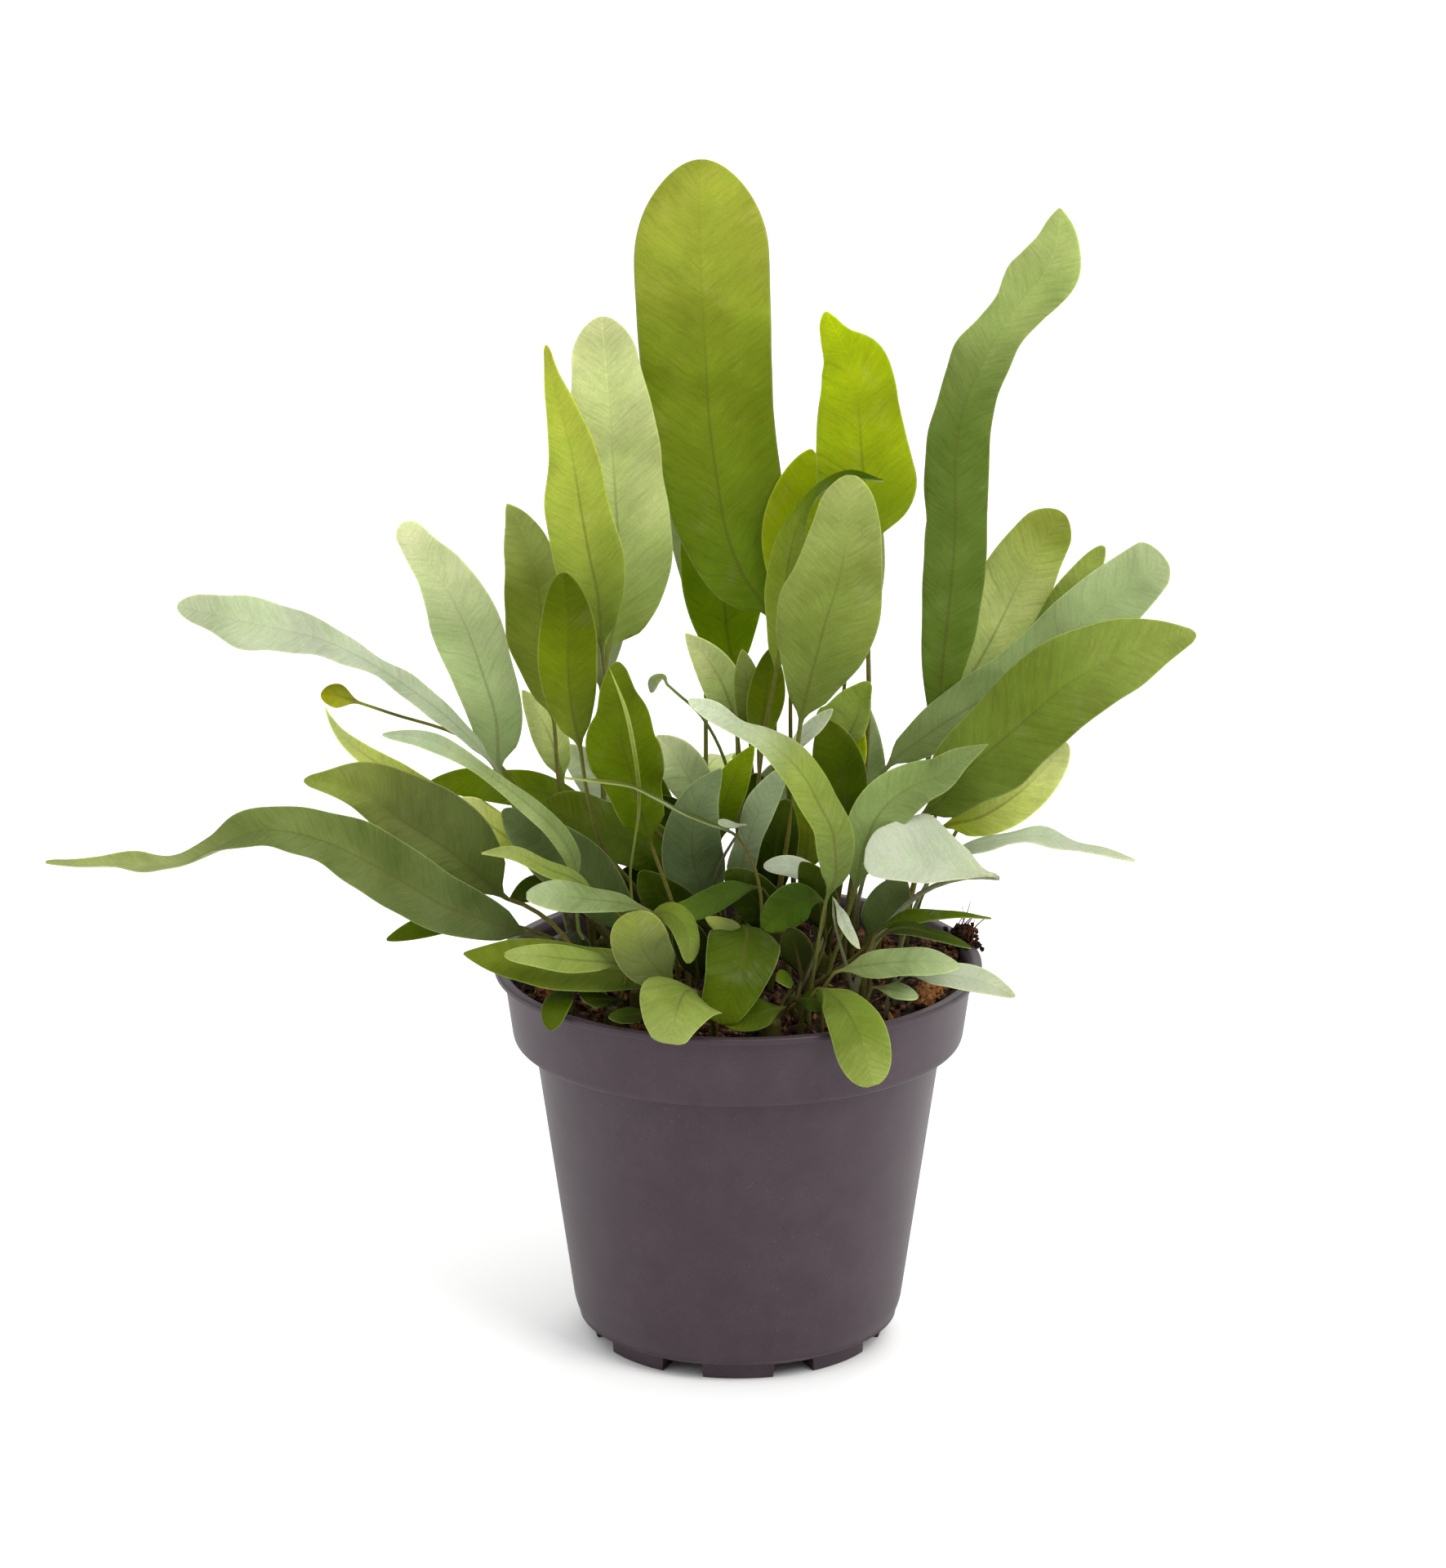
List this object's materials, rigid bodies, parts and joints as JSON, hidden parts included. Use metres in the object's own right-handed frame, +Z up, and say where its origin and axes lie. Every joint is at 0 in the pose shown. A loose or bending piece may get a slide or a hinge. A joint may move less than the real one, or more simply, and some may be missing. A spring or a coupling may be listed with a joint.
{
  "type": "potted blue star fern",
  "caption": "Fern with upright and arching strap-shaped blue-green fronds growing from creeping rhizomes in soil, in a round tapered nursery pot with a collar and a grooved foot.",
  "frame": {"origin": "centre of the pot's foot, on the flat hub that it rests on", "axes": "+Z up along the pot's axis, +Y towards the back of the plant, away from the side that the picture shows, and +X towards the picture's right"},
  "size_m": [0.276, 0.1521, 0.29],
  "materials": {
    "pot_plastic": "matte dark grey with a fine grain",
    "potting_soil": "rough, dry, crumbly",
    "rhizome_skin": "scaly, matte",
    "frond_olive_green": "satin",
    "frond_green": "satin",
    "frond_yellow_green": "satin",
    "frond_pale": "matte, waxy bloom",
    "frond_dark": "satin",
    "frond_glaucous": "matte, waxy bloom"
  },
  "bodies": {
    "root": {"frond_arc": "frond_dark", "frond_arching": "frond_green", "frond_back_far_right": "frond_green", "frond_back_left": "frond_green", "frond_back_low_right": "frond_yellow_green", "frond_back_over_rim": "frond_green", "frond_back_reaching_left": "frond_glaucous", "frond_back_reaching_right": "frond_glaucous", "frond_back_right": "frond_green", "frond_back_tall": "frond_glaucous", "frond_behind_tallest": "frond_green", "frond_big_right": "frond_green", "frond_blue_right": "frond_glaucous", "frond_bright_right": "frond_yellow_green", "frond_broad_pale": "frond_pale", "frond_dark_left": "frond_dark", "frond_far_left": "frond_glaucous", "frond_flat_right": "frond_glaucous", "frond_folded": "frond_green", "frond_front_centre": "frond_green", "frond_front_left": "frond_green", "frond_longest_left": "frond_glaucous", "frond_low_left": "frond_olive_green", "frond_narrow_left": "frond_yellow_green", "frond_narrow_right": "frond_glaucous", "frond_olive": "frond_olive_green", "frond_olive_right": "frond_olive_green", "frond_over_rim": "frond_green", "frond_pale_left": "frond_pale", "frond_pale_low_right": "frond_pale", "frond_pale_spoon": "frond_pale", "frond_pointed": "frond_yellow_green", "frond_reaching": "frond_green", "frond_right_centre": "frond_green", "frond_rounded_left": "frond_dark", "frond_small_yellow": "frond_yellow_green", "frond_strap_right": "frond_green", "frond_tall_right": "frond_glaucous", "frond_tallest": "frond_olive_green", "frond_wedge": "frond_yellow_green", "frond_whitish": "frond_pale", "frond_yellow_right": "frond_yellow_green", "frond_yellow_rim": "frond_yellow_green", "pot": "pot_plastic", "rhizome_left": "rhizome_skin", "rhizome_right": "rhizome_skin", "soil": "potting_soil", "tuft_back_low": "frond_green", "tuft_behind": "frond_pale", "tuft_centre": "frond_pale", "tuft_edge_on": "frond_dark", "tuft_front": "frond_dark", "tuft_front_left": "frond_glaucous", "tuft_grey": "frond_glaucous", "tuft_inner_left": "frond_pale", "tuft_inner_right": "frond_yellow_green", "tuft_left_rim": "frond_dark", "tuft_low_centre": "frond_green", "tuft_low_left": "frond_glaucous", "tuft_low_right": "frond_dark"}
  },
  "joints": []
}
